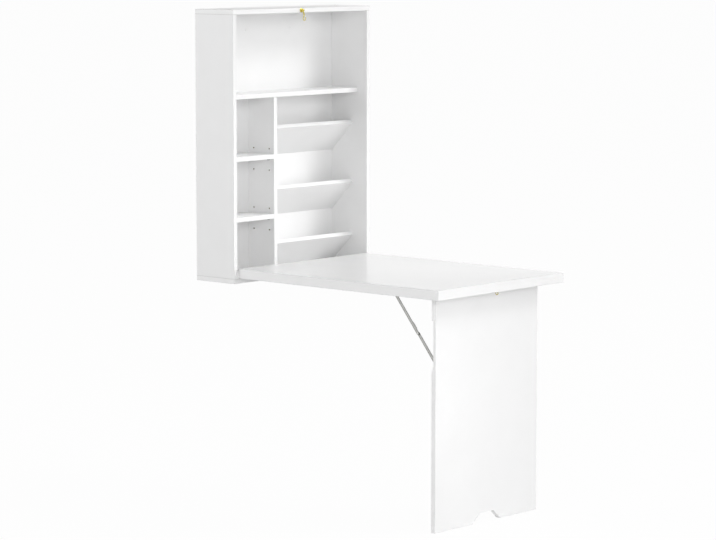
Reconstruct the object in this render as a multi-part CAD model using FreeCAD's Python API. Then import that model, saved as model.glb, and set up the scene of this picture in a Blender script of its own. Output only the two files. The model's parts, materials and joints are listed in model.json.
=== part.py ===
import FreeCAD, Part
import math
import os

# Fold down wall desk: a shallow wall cabinet, a framed desktop hinged to its floor and a
# panel leg hinged under the desktop. It is drawn open, as it is used.
# Units mm, +Z up, wall on the plane Y = 0, front towards -Y, +X to the right.
# The origin is midway between the two wall screw holes, on the wall.

# Driving dimensions: boards and cabinet
board = 15.0              # melamine board of the carcass, shelves and desktop
cab_width = 634.0
cab_depth = 164.0
desk_height = 740.0       # working surface above the floor
back_t = 3.0              # back panel
rail_t = 8.0              # hanging rail, between the back panel and the wall
rail_h = 90.0
groove_depth = 6.0        # groove that holds the back panel
screw_drop = 69.5         # wall screw holes below the cabinet's top
wall_hole_span = 200.0
wall_hole_d = 6.0
setback = 40.0            # shelves and divider behind the front plane
cubby_width = 209.0
pin_d = 5.0
pin_pitch = 34.0
pin_front_margin = 21.0   # front pins behind the front of a small shelf
pin_back_margin = 24.0    # back pins in front of the back panel
pin_hole_depth = 9.0
pin_reach = 8.0           # pin standing out under a shelf
rack_setback = 61.5       # front edge of a tilted panel behind the front plane
rack_t = 15.0
rack_tilt = 45.0

# Shares of the clear height that the shelves and racks divide
upper_bay_share = 0.305   # space above the full shelf, of the whole cabinet inside
cubby_shares = {"lower_cubby_shelf": 0.307, "upper_cubby_shelf": 0.649}
rack_shares = {"lower_rack_panel": 0.156, "middle_rack_panel": 0.468, "upper_rack_panel": 0.817}

# Driving dimensions: desktop and leg
desk_side_gap = 3.0       # desktop to side panel, each side
desk_top_gap = 3.0        # closed desktop to top board
frame_t = 15.0            # strips under the desktop's edge
stile_w = 53.5            # side strips of the frame
hinge_rail_w = 14.0       # strip at the hinged end
leg_t = 15.0
leg_margin = 57.5         # outer face of the leg behind the desktop's end
leg_side_gap = 3.0        # folded leg to the frame's stiles
leg_end_gap = 1.5         # leg to the end rail
leg_foot_gap = 2.5        # folded foot to the hinge rail
leg_top_gap = 0.5
notch_foot_w = 132.0
notch_top_w = 65.0
notch_h = 30.0

# Driving dimensions: butt hinges
leaf_t = 1.4
leaf_w = 26.0
leaf_play = 0.2           # between two folded leaves
hinge_len = 60.0
knuckle_r = 3.0
pin_r = 1.25
run_fit = 0.05            # radial clearance of a pin in its knuckle
knuckle_gap = 0.3
relief_gap = 0.5          # board to knuckle
desk_hinge_spread = 0.335  # outer hinges from the middle, as a share of the desktop's width
leg_hinge_spread = 0.37   # the same, of the leg's width
hinge_screw_u = 21.5      # screw line from the pin
hinge_screw_x = 20.0      # screws each side of a hinge's middle
hinge_screw_len = 12.0

# Driving dimensions: folding stays
stay_a = 169.0            # leg pin to the stay's pivot under the desktop
stay_b = 219.0            # leg pin to the stay's pivot on the leg
pivot_drop = 5.0          # desktop pivot below the board
link_w = 8.0
link_t = 2.0
elbow_r = 5.0             # round end of the links at the elbow
link_gap = 0.3
ear_t = 1.5
ear_rim = 0.5             # an ear's round end outside the link's
ear_w = 12.0
plate_w = 14.0
plate_len = 36.0
plate_screw_y = 12.0      # screws each side of a bracket's middle
stay_inset = 17.3         # outer side of the upper link from the leg's edge
rivet_r = 2.0
rivet_head_r = 3.4
rivet_head_t = 1.0
pocket_depth = 7.0
pocket_top = 86.0         # pocket below the underside of the desktop board
mouth_len = 157.0         # stretch of the pocket that opens through the leg's edge
mouth_taper = 21.0
pocket_play = 3.0
stay_leg_screw_len = 6.0

# Driving dimensions: latch
hook_wire_r = 1.3
hook_reach = 32.0         # pivot to the hook's tip line
hook_offset = 8.0         # pivot to the left of the middle
hook_tip = 11.0
hook_stand = 7.0          # hook's plane in front of the cabinet
hook_play = 0.3
pivot_screw_r = 1.6
pivot_head_r = 4.5
pivot_head_t = 2.2
pivot_screw_depth = 18.0
eye_wire_r = 1.2
eye_ring_r = 4.4          # middle of the ring's wire
eye_shank_depth = 11.0

# Driving dimensions: joinery
dowel_d = 8.0
carcass_dowel_len = 21.0
shelf_dowel_len = 18.0
small_dowel_d = 5.0
small_dowel_len = 22.0
rack_dowel_len = 17.5
carcass_screw_d = 6.0
carcass_screw_len = 40.0
carcass_head_r = 5.0
carcass_head_t = 4.0
cap_r = 6.5
cap_t = 1.0
cam_r = 7.5
cam_h = 12.0
cam_from_end = 24.0
cam_bolt_r = 3.0
cam_bolt_bite = 10.0
cam_slot_w = 2.0
cam_slot_len = 10.0
cam_slot_d = 3.0
fit = 0.05                # radial clearance round a fixed fastener
groove_play = 0.2         # back panel in its grooves, each face
tongue_play = 0.5         # back panel to the bottom of a groove
shelf_play = 0.5          # loose small shelf to its walls
over = 1.0                # how far a cutting tool runs past a face
wood_screw_r = 1.6
wood_head_r = 3.1

# The desktop is as long as the leg needs to fold inside its frame, and the cabinet as tall as
# the desktop needs to close it
pin_off = leaf_t + leaf_play / 2
leg_reach = desk_height - board - pin_off
desk_len = leg_margin + leg_t + pin_off + leg_reach + leg_foot_gap + hinge_rail_w
cab_height = desk_len + 2 * board + 2 * pin_off + desk_top_gap

# Heights, from the floor up
desk_t = board + frame_t
cab_base = desk_height - desk_t - pin_off - board
floor_z = -(cab_base + cab_height - screw_drop)
cab_z0 = floor_z + cab_base
cab_z1 = cab_z0 + cab_height
bay_z0 = cab_z0 + board
bay_z1 = cab_z1 - board
desk_z1 = floor_z + desk_height
desk_under = desk_z1 - board
frame_z0 = desk_under - frame_t
shelf_z1 = bay_z1 - upper_bay_share * (bay_z1 - bay_z0)
shelf_z0 = shelf_z1 - board
lower_bay = shelf_z0 - bay_z0

# Places across and in depth
front = -cab_depth
side_x = cab_width / 2
bay_x = side_x - board
back_y1 = -rail_t
back_y0 = back_y1 - back_t
inner_y = front + setback
divider_x0 = -bay_x + cubby_width
divider_x1 = divider_x0 + board
desk_x = bay_x - desk_side_gap
desk_y1 = front - pin_off
desk_y0 = desk_y1 - desk_len
stile_x = desk_x - stile_w
leg_x = stile_x - leg_side_gap
leg_y0 = desk_y0 + leg_margin
leg_y1 = leg_y0 + leg_t
leg_z1 = desk_under - leg_top_gap
desk_hinge_x = [share * 2 * desk_x for share in (-desk_hinge_spread, 0, desk_hinge_spread)]
leg_hinge_x = [share * 2 * leg_x for share in (-leg_hinge_spread, 0, leg_hinge_spread)]

# Pins of the two folds
desk_pin = (front, bay_z0 + pin_off)
leg_pin = (leg_y1 + pin_off, desk_under - pin_off)

# Folding stay: the two links are in line when open and folded back on each other when shut.
# Both pivots lie on one line when the leg is folded, so the link lengths follow from that.
pivot_inset = pivot_drop - 2 * pin_off
pivot_a = (leg_pin[0] + stay_a, desk_under - pivot_drop)
pivot_b = (leg_y1 - pivot_inset, leg_pin[1] - stay_b)
stay_rise = pivot_a[1] - pivot_b[1]
stay_run = pivot_a[0] - pivot_b[0]
stay_len = math.hypot(stay_rise, stay_run)
stay_angle = math.degrees(math.atan2(stay_rise, stay_run))
link_upper = (stay_len + stay_b - stay_a) / 2
link_lower = stay_len - link_upper
elbow = (pivot_a[0] - link_upper * stay_run / stay_len,
         pivot_a[1] - link_upper * stay_rise / stay_len)

V = FreeCAD.Vector
AX = V(1, 0, 0)
AY = V(0, 1, 0)
AZ = V(0, 0, 1)


# Helpers
def box(x0, x1, y0, y1, z0, z1):
    return Part.makeBox(x1 - x0, y1 - y0, z1 - z0, V(x0, y0, z0))


def rod(start, axis, radius, length):
    return Part.makeCylinder(radius, length, start, axis)


def prism_x(points, x0, x1):
    corners = [V(x0, y, z) for y, z in points]
    face = Part.Face(Part.makePolygon(corners + corners[:1]))
    return face.extrude(V(x1 - x0, 0, 0))


def prism_y(points, y0, y1):
    corners = [V(x, y0, z) for x, z in points]
    face = Part.Face(Part.makePolygon(corners + corners[:1]))
    return face.extrude(V(0, y1 - y0, 0))


def fuse(shapes):
    joined = shapes[0].multiFuse(shapes[1:]) if len(shapes) > 1 else shapes[0]
    return joined.removeSplitter()


def cut(shape, tools):
    return shape.cut(Part.makeCompound(tools)) if tools else shape


def mirrored(shape):
    return shape.mirror(V(0, 0, 0), AX)


nodes = {}


def keep(name, shapes):
    shapes = shapes if isinstance(shapes, list) else [shapes]
    nodes[name] = shapes[0] if len(shapes) == 1 else Part.makeCompound(shapes)


# A countersunk screw: its head is flush with the face at "start" and it points along "axis".
def wood_screw(start, axis, length, play=0.0):
    cone_len = wood_head_r - wood_screw_r
    head = Part.makeCone(wood_head_r + play, wood_screw_r + play, cone_len, start, axis)
    return fuse([head, rod(start, axis, wood_screw_r + play, length + play)])


# A straight dowel about a middle point, and the hole for it.
def dowel(middle, axis, diameter, length, play=0.0):
    half = V(axis).multiply(length / 2 + play)
    return rod(middle.sub(half), axis, diameter / 2 + play, length + 2 * play)


# Butt hinge. The pin runs along X. "out" points along a leaf away from the pin and "seat" points
# from the pin to the board that carries the leaf, both in the YZ plane.
def hinge_cells(middle, count=3):
    step = hinge_len / count
    first = middle - hinge_len / 2
    return [(first + i * step, first + (i + 1) * step) for i in range(count)]


def slab(pin, x0, x1, out, seat, reach, s0, s1):
    corners = []
    for u, s in ((0, s0), (reach, s0), (reach, s1), (0, s1)):
        corners.append((pin[0] + u * out[0] + s * seat[0], pin[1] + u * out[1] + s * seat[1]))
    return prism_x(corners, x0, x1)


def leaf_screws(pin, middles, out, seat, play=0.0):
    screws = []
    for middle in middles:
        for side in (-1, 1):
            y = pin[0] + hinge_screw_u * out[0] + (pin_off - leaf_t) * seat[0]
            z = pin[1] + hinge_screw_u * out[1] + (pin_off - leaf_t) * seat[1]
            start = V(middle + side * hinge_screw_x, y, z)
            screws.append(wood_screw(start, V(0, *seat), hinge_screw_len, play))
    return screws


def hinge_leaves(pin, middles, out, seat, own):
    leaves = []
    for middle in middles:
        cells = hinge_cells(middle)
        x0, x1 = middle - hinge_len / 2, middle + hinge_len / 2
        solid = [slab(pin, x0, x1, out, seat, leaf_w, pin_off - leaf_t, pin_off)]
        away = []
        for i, (c0, c1) in enumerate(cells):
            if i % 2 == own:
                a0 = c0 if i == 0 else c0 + knuckle_gap / 2
                a1 = c1 if i == len(cells) - 1 else c1 - knuckle_gap / 2
                solid.append(rod(V(a0, *pin), AX, knuckle_r, a1 - a0))
            else:
                a0 = x0 - over if i == 0 else c0 - knuckle_gap / 2
                a1 = x1 + over if i == len(cells) - 1 else c1 + knuckle_gap / 2
                away.append(rod(V(a0, *pin), AX, knuckle_r + knuckle_gap, a1 - a0))
        away.append(rod(V(x0 - over, *pin), AX, pin_r + run_fit, hinge_len + 2 * over))
        away += leaf_screws(pin, [middle], out, seat, fit)
        leaves.append(cut(fuse(solid), away))
    return leaves


def hinge_pins(pin, middles):
    return [rod(V(m - hinge_len / 2, *pin), AX, pin_r, hinge_len) for m in middles]


def knuckle_reliefs(pin, middles):
    spare = relief_gap
    return [rod(V(m - hinge_len / 2 - spare, *pin), AX, knuckle_r + spare, hinge_len + 2 * spare)
            for m in middles]


UP, DOWN, IN, OUT = (0, 1), (0, -1), (1, 0), (-1, 0)

# Cabinet fasteners, first as positions so that boards and fasteners share them
depth_marks = [front + cab_depth * share for share in (0.15, 0.5, 0.85)]
carcass_dowels, carcass_holes = [], []
carcass_screws, carcass_screw_holes, carcass_caps = [], [], []
for x in (-side_x + board / 2, side_x - board / 2):
    for seam, outward, face in ((bay_z0, -1, cab_z0), (bay_z1, 1, cab_z1)):
        carcass_dowels.append(dowel(V(x, depth_marks[1], seam), AZ, dowel_d, carcass_dowel_len))
        carcass_holes.append(dowel(V(x, depth_marks[1], seam), AZ, dowel_d, carcass_dowel_len, fit))
        for y in (depth_marks[0], depth_marks[2]):
            head = V(x, y, face - outward * cap_t)
            inward = V(0, 0, -outward)
            for group, play in ((carcass_screws, 0.0), (carcass_screw_holes, fit)):
                knob = rod(head, inward, carcass_head_r + play, carcass_head_t + play)
                stem = rod(head, inward, carcass_screw_d / 2 + play, carcass_screw_len + play)
                group.append(fuse([knob, stem]))
            carcass_caps.append(rod(head, V(0, 0, outward), cap_r, cap_t))
            carcass_screw_holes.append(rod(head, V(0, 0, outward), cap_r + fit, cap_t + over))

shelf_mid_z = (shelf_z0 + shelf_z1) / 2
shelf_depth = back_y0 - inner_y
shelf_marks = [inner_y + shelf_depth * share for share in (0.2, 0.5, 0.8)]
shelf_dowels, shelf_holes, cam_bolts, cam_bolt_holes, cam_locks, cam_holes = [], [], [], [], [], []
for side in (-1, 1):
    for y in (shelf_marks[0], shelf_marks[2]):
        middle = V(side * bay_x, y, shelf_mid_z)
        shelf_dowels.append(dowel(middle, AX, dowel_d, shelf_dowel_len))
        shelf_holes.append(dowel(middle, AX, dowel_d, shelf_dowel_len, fit))
    outer = V(side * (bay_x + cam_bolt_bite), shelf_marks[1], shelf_mid_z)
    bolt_len = cam_bolt_bite + cam_from_end - cam_r - fit * 2
    cam_bolts.append(rod(outer, V(-side, 0, 0), cam_bolt_r, bolt_len))
    cam_bolt_holes.append(rod(outer.add(V(side * fit, 0, 0)), V(-side, 0, 0), cam_bolt_r + fit,
                              bolt_len + cam_r))
    seat = V(side * (bay_x - cam_from_end), shelf_marks[1], shelf_z0)
    slot = box(seat.x - cam_slot_len / 2, seat.x + cam_slot_len / 2,
               seat.y - cam_slot_w / 2, seat.y + cam_slot_w / 2, seat.z - over, seat.z + cam_slot_d)
    cam_locks.append(rod(seat, AZ, cam_r, cam_h).cut(slot))
    cam_holes.append(rod(seat.sub(V(0, 0, over)), AZ, cam_r + fit, cam_h + over + fit))

divider_mid = (divider_x0 + divider_x1) / 2
divider_dowels, divider_holes = [], []
for seam in (bay_z0, shelf_z0):
    for y in (shelf_marks[0], shelf_marks[2]):
        middle = V(divider_mid, y, seam)
        divider_dowels.append(dowel(middle, AZ, small_dowel_d, small_dowel_len))
        divider_holes.append(dowel(middle, AZ, small_dowel_d, small_dowel_len, fit))

rail_z0 = bay_z1 - rail_h
rail_dowels, rail_holes = [], []
for side in (-1, 1):
    for share in (0.25, 0.75):
        middle = V(side * bay_x, -rail_t / 2, rail_z0 + rail_h * share)
        rail_dowels.append(dowel(middle, AX, small_dowel_d, small_dowel_len))
        rail_holes.append(dowel(middle, AX, small_dowel_d, small_dowel_len, fit))

# Tilted rack panels: a section in the YZ plane, clipped by the bottom board, run across the bay
tilt = math.radians(rack_tilt)
rack_along = (math.cos(tilt), -math.sin(tilt))
rack_up = (math.sin(tilt), math.cos(tilt))
rack_y0 = front + rack_setback
rack_panels, rack_dowels, rack_holes = {}, [], []
for name, rack_share in rack_shares.items():
    low = (rack_y0, bay_z0 + rack_share * lower_bay)
    long_side = 2 * cab_depth
    section = []
    for along, up in ((0, 0), (long_side, 0), (long_side, rack_t), (0, rack_t)):
        section.append((low[0] + along * rack_along[0] + up * rack_up[0],
                        low[1] + along * rack_along[1] + up * rack_up[1]))
    blank = prism_x(section, divider_x1, bay_x)
    room = box(divider_x1, bay_x, front, back_y0, bay_z0, shelf_z0)
    panel = blank.common(room)
    reach = (back_y0 - rack_y0) / math.cos(tilt)
    holes = []
    for x in (divider_x1, bay_x):
        for share in (0.2, 0.6):
            middle = V(x, low[0] + reach * share * rack_along[0] + rack_t / 2 * rack_up[0],
                       low[1] + reach * share * rack_along[1] + rack_t / 2 * rack_up[1])
            rack_dowels.append(dowel(middle, AX, small_dowel_d, rack_dowel_len))
            holes.append(dowel(middle, AX, small_dowel_d, rack_dowel_len, fit))
    rack_panels[name] = cut(panel, holes)
    rack_holes += holes

# Shelf pins and their rows of holes, on the left side panel and on the divider
shelf_pins, pin_holes = [], []
for shelf_share in cubby_shares.values():
    seat_z = bay_z0 + shelf_share * lower_bay - pin_d / 2 - fit
    for row in (-1, 0, 1):
        for y in (inner_y + pin_front_margin, back_y0 - pin_back_margin):
            for wall_x, inward in ((-bay_x, 1), (divider_x0, -1)):
                root = V(wall_x - inward * pin_hole_depth, y, seat_z + row * pin_pitch)
                pin_holes.append(rod(root, V(inward, 0, 0), pin_d / 2 + fit, pin_hole_depth + over))
                if row == 0:
                    shelf_pins.append(rod(root.add(V(inward * fit, 0, 0)), V(inward, 0, 0), pin_d / 2,
                                          pin_hole_depth + pin_reach))

# Grooves for the back panel, and the holes for the wall screws
groove_x = bay_x + groove_depth
groove = box(-groove_x, groove_x, back_y0 - groove_play, back_y1 + groove_play,
             bay_z0 - groove_depth, bay_z1 + groove_depth)
tongue = groove_depth - tongue_play
wall_holes = [rod(V(x, back_y0 - over, 0), AY, wall_hole_d / 2, back_t + rail_t + 2 * over)
              for x in (-wall_hole_span / 2, wall_hole_span / 2)]

# Latch pivot on the front edge of the top board
hook_x = -hook_offset
hook_z = cab_z1 - board / 2
hook_y = front - hook_stand
hook_ring_r = pivot_screw_r + hook_play + hook_wire_r
pivot_hole = rod(V(hook_x, front - over, hook_z), AY, pivot_screw_r + fit, pivot_screw_depth + over + fit)
collar_len = hook_stand - hook_wire_r - hook_play
head_y = hook_y - hook_wire_r - hook_play
keep("hook_pivot_screw", fuse([
    rod(V(hook_x, front + pivot_screw_depth, hook_z), V(0, -1, 0), pivot_screw_r,
        pivot_screw_depth - head_y + front),
    rod(V(hook_x, front, hook_z), V(0, -1, 0), pivot_head_r * 0.8, collar_len),
    Part.makeCone(pivot_head_r, pivot_head_r * 0.6, pivot_head_t, V(hook_x, head_y, hook_z), V(0, -1, 0)),
]))

# Cabinet boards
desk_hinge_holes = leaf_screws(desk_pin, desk_hinge_x, IN, DOWN, fit)
keep("top_board", cut(box(-side_x, side_x, front, 0, bay_z1, cab_z1),
                      [groove, pivot_hole] + carcass_holes + carcass_screw_holes))
keep("bottom_board", cut(box(-side_x, side_x, front, 0, cab_z0, bay_z0),
                         [groove] + carcass_holes + carcass_screw_holes + divider_holes
                         + desk_hinge_holes + knuckle_reliefs(desk_pin, desk_hinge_x)))
keep("left_side_panel", cut(box(-side_x, -bay_x, front, 0, bay_z0, bay_z1),
                            [groove] + carcass_holes + carcass_screw_holes + shelf_holes
                            + cam_bolt_holes + rail_holes + pin_holes))
keep("right_side_panel", cut(box(bay_x, side_x, front, 0, bay_z0, bay_z1),
                             [groove] + carcass_holes + carcass_screw_holes + shelf_holes
                             + cam_bolt_holes + rail_holes + rack_holes))
keep("back_panel", cut(box(-bay_x - tongue, bay_x + tongue, back_y0, back_y1,
                           bay_z0 - tongue, bay_z1 + tongue), wall_holes))
keep("hanging_rail", cut(box(-bay_x, bay_x, back_y1, 0, rail_z0, bay_z1), wall_holes + rail_holes))
keep("full_shelf", cut(box(-bay_x, bay_x, inner_y, back_y0, shelf_z0, shelf_z1),
                       shelf_holes + cam_bolt_holes + cam_holes + divider_holes))
keep("column_divider", cut(box(divider_x0, divider_x1, inner_y, back_y0, bay_z0, shelf_z0),
                           divider_holes + pin_holes + rack_holes))
for name, shelf_share in cubby_shares.items():
    under = bay_z0 + shelf_share * lower_bay
    keep(name, box(-bay_x + shelf_play, divider_x0 - shelf_play, inner_y, back_y0 - shelf_play,
                   under, under + board))
for name, panel in rack_panels.items():
    keep(name, panel)
keep("shelf_pins", shelf_pins)
keep("rack_dowels", rack_dowels)
keep("carcass_dowels", carcass_dowels)
keep("carcass_screws", carcass_screws)
keep("carcass_screw_caps", carcass_caps)
keep("shelf_dowels", shelf_dowels)
keep("shelf_cam_bolts", cam_bolts)
keep("shelf_cam_locks", cam_locks)
keep("divider_dowels", divider_dowels)
keep("rail_dowels", rail_dowels)

# Desk hinges
keep("desk_hinge_cabinet_leaves", hinge_leaves(desk_pin, desk_hinge_x, IN, DOWN, 0))
keep("desk_hinge_desk_leaves", hinge_leaves(desk_pin, desk_hinge_x, UP, OUT, 1))
keep("desk_hinge_pins", hinge_pins(desk_pin, desk_hinge_x))
keep("desk_hinge_cabinet_screws", leaf_screws(desk_pin, desk_hinge_x, IN, DOWN))
keep("desk_hinge_desk_screws", leaf_screws(desk_pin, desk_hinge_x, UP, OUT))

# Leg hinges
keep("leg_hinge_desk_leaves", hinge_leaves(leg_pin, leg_hinge_x, IN, UP, 0))
keep("leg_hinge_leg_leaves", hinge_leaves(leg_pin, leg_hinge_x, DOWN, OUT, 1))
keep("leg_hinge_pins", hinge_pins(leg_pin, leg_hinge_x))
keep("leg_hinge_desk_screws", leaf_screws(leg_pin, leg_hinge_x, IN, UP))
keep("leg_hinge_leg_screws", leaf_screws(leg_pin, leg_hinge_x, DOWN, OUT))

# Folding stays, drawn on the left and mirrored. Planes across, from the leg's edge inwards:
# desktop ear, upper link, lower link, leg ear.
upper_x0 = -leg_x + stay_inset
upper_x1 = upper_x0 + link_t
lower_x0 = upper_x1 + link_gap
lower_x1 = lower_x0 + link_t
desk_ear_x1 = upper_x0 - link_gap
desk_ear_x0 = desk_ear_x1 - ear_t
leg_ear_x0 = lower_x1 + link_gap
leg_ear_x1 = leg_ear_x0 + ear_t
pocket_floor = leg_y1 - pocket_depth


def link(x0, start, end, r_start, r_end):
    span = math.hypot(end[0] - start[0], end[1] - start[1])
    across = (-(end[1] - start[1]) / span, (end[0] - start[0]) / span)
    half = link_w / 2
    sides = [(p[0] + s * half * across[0], p[1] + s * half * across[1])
             for p, s in ((start, 1), (end, 1), (end, -1), (start, -1))]
    solid = fuse([prism_x(sides, x0, x0 + link_t),
                  rod(V(x0, *start), AX, r_start, link_t),
                  rod(V(x0, *end), AX, r_end, link_t)])
    return cut(solid, [rod(V(x0 - over, *p), AX, rivet_r + run_fit, link_t + 2 * over)
                       for p in (start, end)])


def rivet(point, x0, x1, head_low, head_high):
    shapes = [rod(V(x0, *point), AX, rivet_r, x1 - x0)]
    if head_low:
        shapes.append(rod(V(x0 - rivet_head_t, *point), AX, rivet_head_r, rivet_head_t))
    if head_high:
        shapes.append(rod(V(x1, *point), AX, rivet_head_r, rivet_head_t))
    return fuse(shapes)


stay_upper = link(upper_x0, pivot_a, elbow, link_w / 2, elbow_r)
stay_lower = link(lower_x0, elbow, pivot_b, elbow_r, link_w / 2)
desk_rivet = rivet(pivot_a, desk_ear_x0, upper_x1, True, True)
leg_rivet = rivet(pivot_b, lower_x0, leg_ear_x1, False, True)
elbow_upper = rivet(elbow, upper_x0, upper_x1, True, False)
elbow_lower = rivet(elbow, lower_x0, lower_x1, False, True)

desk_plate_x0 = desk_ear_x1 - plate_w
desk_screw_x = desk_plate_x0 + plate_w / 2 - ear_t
leg_plate_x1 = leg_ear_x0 + plate_w
leg_screw_x = leg_ear_x0 + plate_w / 2 + ear_t
ear_end = link_w / 2 + ear_rim
desk_stay_screw, desk_stay_hole, leg_stay_screw, leg_stay_hole = [], [], [], []
for side in (-1, 1):
    start = V(desk_screw_x, pivot_a[0] + side * plate_screw_y, desk_under - ear_t)
    desk_stay_screw.append(wood_screw(start, AZ, hinge_screw_len))
    desk_stay_hole.append(wood_screw(start, AZ, hinge_screw_len, fit))
    start = V(leg_screw_x, pocket_floor + ear_t, pivot_b[1] + side * plate_screw_y)
    leg_stay_screw.append(wood_screw(start, V(0, -1, 0), stay_leg_screw_len))
    leg_stay_hole.append(wood_screw(start, V(0, -1, 0), stay_leg_screw_len, fit))

desk_bracket = fuse([
    box(desk_plate_x0, desk_ear_x1, pivot_a[0] - plate_len / 2, pivot_a[0] + plate_len / 2,
        desk_under - ear_t, desk_under),
    box(desk_ear_x0, desk_ear_x1, pivot_a[0] - ear_w / 2, pivot_a[0] + ear_w / 2, pivot_a[1], desk_under),
    rod(V(desk_ear_x0, *pivot_a), AX, ear_end, ear_t),
])
desk_bracket = cut(desk_bracket, desk_stay_hole + [rod(V(desk_ear_x0 - over, *pivot_a), AX,
                                                       rivet_r + fit, ear_t + 2 * over)])
leg_bracket = fuse([
    box(leg_ear_x0, leg_plate_x1, pocket_floor, pocket_floor + ear_t,
        pivot_b[1] - plate_len / 2, pivot_b[1] + plate_len / 2),
    box(leg_ear_x0, leg_ear_x1, pocket_floor, pivot_b[0], pivot_b[1] - ear_w / 2, pivot_b[1] + ear_w / 2),
    rod(V(leg_ear_x0, *pivot_b), AX, ear_end, ear_t),
])
leg_bracket = cut(leg_bracket, leg_stay_hole + [rod(V(leg_ear_x0 - over, *pivot_b), AX,
                                                    rivet_r + fit, ear_t + 2 * over)])

keep("left_stay_upper_link", stay_upper)
keep("left_stay_lower_link", stay_lower)
keep("left_elbow_rivet_upper", elbow_upper)
keep("left_elbow_rivet_lower", elbow_lower)
keep("right_stay_upper_link", mirrored(stay_upper))
keep("right_stay_lower_link", mirrored(stay_lower))
keep("right_elbow_rivet_upper", mirrored(elbow_upper))
keep("right_elbow_rivet_lower", mirrored(elbow_lower))
keep("stay_desk_brackets", [desk_bracket, mirrored(desk_bracket)])
keep("stay_desk_rivets", [desk_rivet, mirrored(desk_rivet)])
keep("stay_desk_screws", desk_stay_screw + [mirrored(s) for s in desk_stay_screw])
keep("stay_leg_brackets", [leg_bracket, mirrored(leg_bracket)])
keep("stay_leg_rivets", [leg_rivet, mirrored(leg_rivet)])
keep("stay_leg_screws", leg_stay_screw + [mirrored(s) for s in leg_stay_screw])

# Catch eye on the end rail, where the hook's tip line comes when the desktop is shut
shut_z = bay_z0 + 2 * pin_off
eye_y = desk_y1 - (hook_z - hook_reach - shut_z)
eye_z = frame_z0 - hook_stand
eye_ring = Part.makeTorus(eye_ring_r, eye_wire_r, V(0, eye_y, eye_z), AX)
eye_neck = rod(V(0, eye_y, eye_z + eye_ring_r), AZ, eye_wire_r,
               frame_z0 + eye_shank_depth - eye_z - eye_ring_r)
eye_hole = rod(V(0, eye_y, frame_z0 - over), AZ, eye_wire_r + fit, eye_shank_depth + over + fit)
keep("catch_eye", fuse([eye_ring, eye_neck]))

# Desktop: a board with a frame of strips under its edge, so that the leg folds in between
end_rail_y1 = leg_y0 - leg_end_gap
hinge_rail_y0 = desk_y1 - hinge_rail_w
desk_reliefs = knuckle_reliefs(desk_pin, desk_hinge_x)
desk_end_holes = leaf_screws(desk_pin, desk_hinge_x, UP, OUT, fit)
leg_top_holes = leaf_screws(leg_pin, leg_hinge_x, IN, UP, fit)
both_desk_stay_holes = desk_stay_hole + [mirrored(h) for h in desk_stay_hole]
keep("desk_top_board", cut(box(-desk_x, desk_x, desk_y0, desk_y1, desk_under, desk_z1),
                           desk_end_holes + leg_top_holes + both_desk_stay_holes
                           + knuckle_reliefs(leg_pin, leg_hinge_x)))
left_stile = box(-desk_x, -stile_x, desk_y0, desk_y1, frame_z0, desk_under)
keep("desk_left_stile", left_stile)
keep("desk_right_stile", mirrored(left_stile))
keep("desk_end_rail", cut(box(-stile_x, stile_x, desk_y0, end_rail_y1, frame_z0, desk_under), [eye_hole]))
keep("desk_hinge_rail", cut(box(-stile_x, stile_x, hinge_rail_y0, desk_y1, frame_z0, desk_under),
                            desk_reliefs + desk_end_holes))

# Leg panel with its foot notch and the two stay pockets
notch = prism_y([(-notch_foot_w / 2, floor_z - over), (-notch_foot_w / 2, floor_z),
                 (-notch_top_w / 2, floor_z + notch_h), (notch_top_w / 2, floor_z + notch_h),
                 (notch_foot_w / 2, floor_z), (notch_foot_w / 2, floor_z - over)],
                leg_y0 - over, leg_y1 + over)
pocket_z1 = desk_under - pocket_top
pocket_z0 = leg_pin[1] - stay_b - link_lower - elbow_r - pocket_play
pocket_x0 = desk_ear_x0 - rivet_head_t - pocket_play
pocket_x1 = leg_plate_x1 + pocket_play
mouth_z0 = pocket_z1 - mouth_len
pocket = box(pocket_x0, pocket_x1, pocket_floor, leg_y1 + over, pocket_z0, pocket_z1)
mouth = prism_x([(leg_y1 + over, pocket_z1), (pocket_floor, pocket_z1),
                 (pocket_floor, mouth_z0 + mouth_taper), (leg_y1, mouth_z0), (leg_y1 + over, mouth_z0)],
                -leg_x - over, pocket_x1)
pockets = [pocket, mouth]
leg_face_holes = leaf_screws(leg_pin, leg_hinge_x, DOWN, OUT, fit)
leg_cuts = [notch] + pockets + [mirrored(p) for p in pockets] + leg_face_holes
leg_cuts += leg_stay_hole + [mirrored(h) for h in leg_stay_hole]
leg_cuts += knuckle_reliefs(leg_pin, leg_hinge_x)
leg_blank = box(-leg_x, leg_x, leg_y0, leg_y1, floor_z, leg_z1)
for tool in leg_cuts:
    leg_blank = leg_blank.cut(tool)
keep("leg_panel", leg_blank)

# Latch hook: a wire ring on the pivot screw, a straight shank, a bend and a tip through the eye
bend_r = hook_ring_r
bend_x = hook_x + bend_r
tip_z = hook_z - hook_reach
bend_z = tip_z + bend_r
ring = Part.makeTorus(hook_ring_r, hook_wire_r, V(hook_x, hook_y, hook_z), AY)
shank = rod(V(hook_x, hook_y, bend_z), AZ, hook_wire_r, hook_z - hook_ring_r - bend_z)
profile = Part.Face(Part.Wire(Part.makeCircle(hook_wire_r, V(hook_x, hook_y, bend_z), AZ)))
bend = profile.revolve(V(bend_x, hook_y, bend_z), V(0, -1, 0), 90)
tip = rod(V(bend_x, hook_y, tip_z), AX, hook_wire_r, hook_tip)
point = Part.makeCone(hook_wire_r, hook_wire_r / 2, hook_wire_r, V(bend_x + hook_tip, hook_y, tip_z), AX)
keep("latch_hook", fuse([ring, shank, bend, tip, point]))

# One STEP file for each node
os.makedirs("parts", exist_ok=True)
for name, shape in nodes.items():
    shape.exportStep("parts/" + name + ".step")
    solids = shape.Solids
    volume = sum(s.Volume for s in solids)
    print("%-28s %3d solids %12.1f mm3 valid %s" % (name, len(solids), volume, shape.isValid()))

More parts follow.
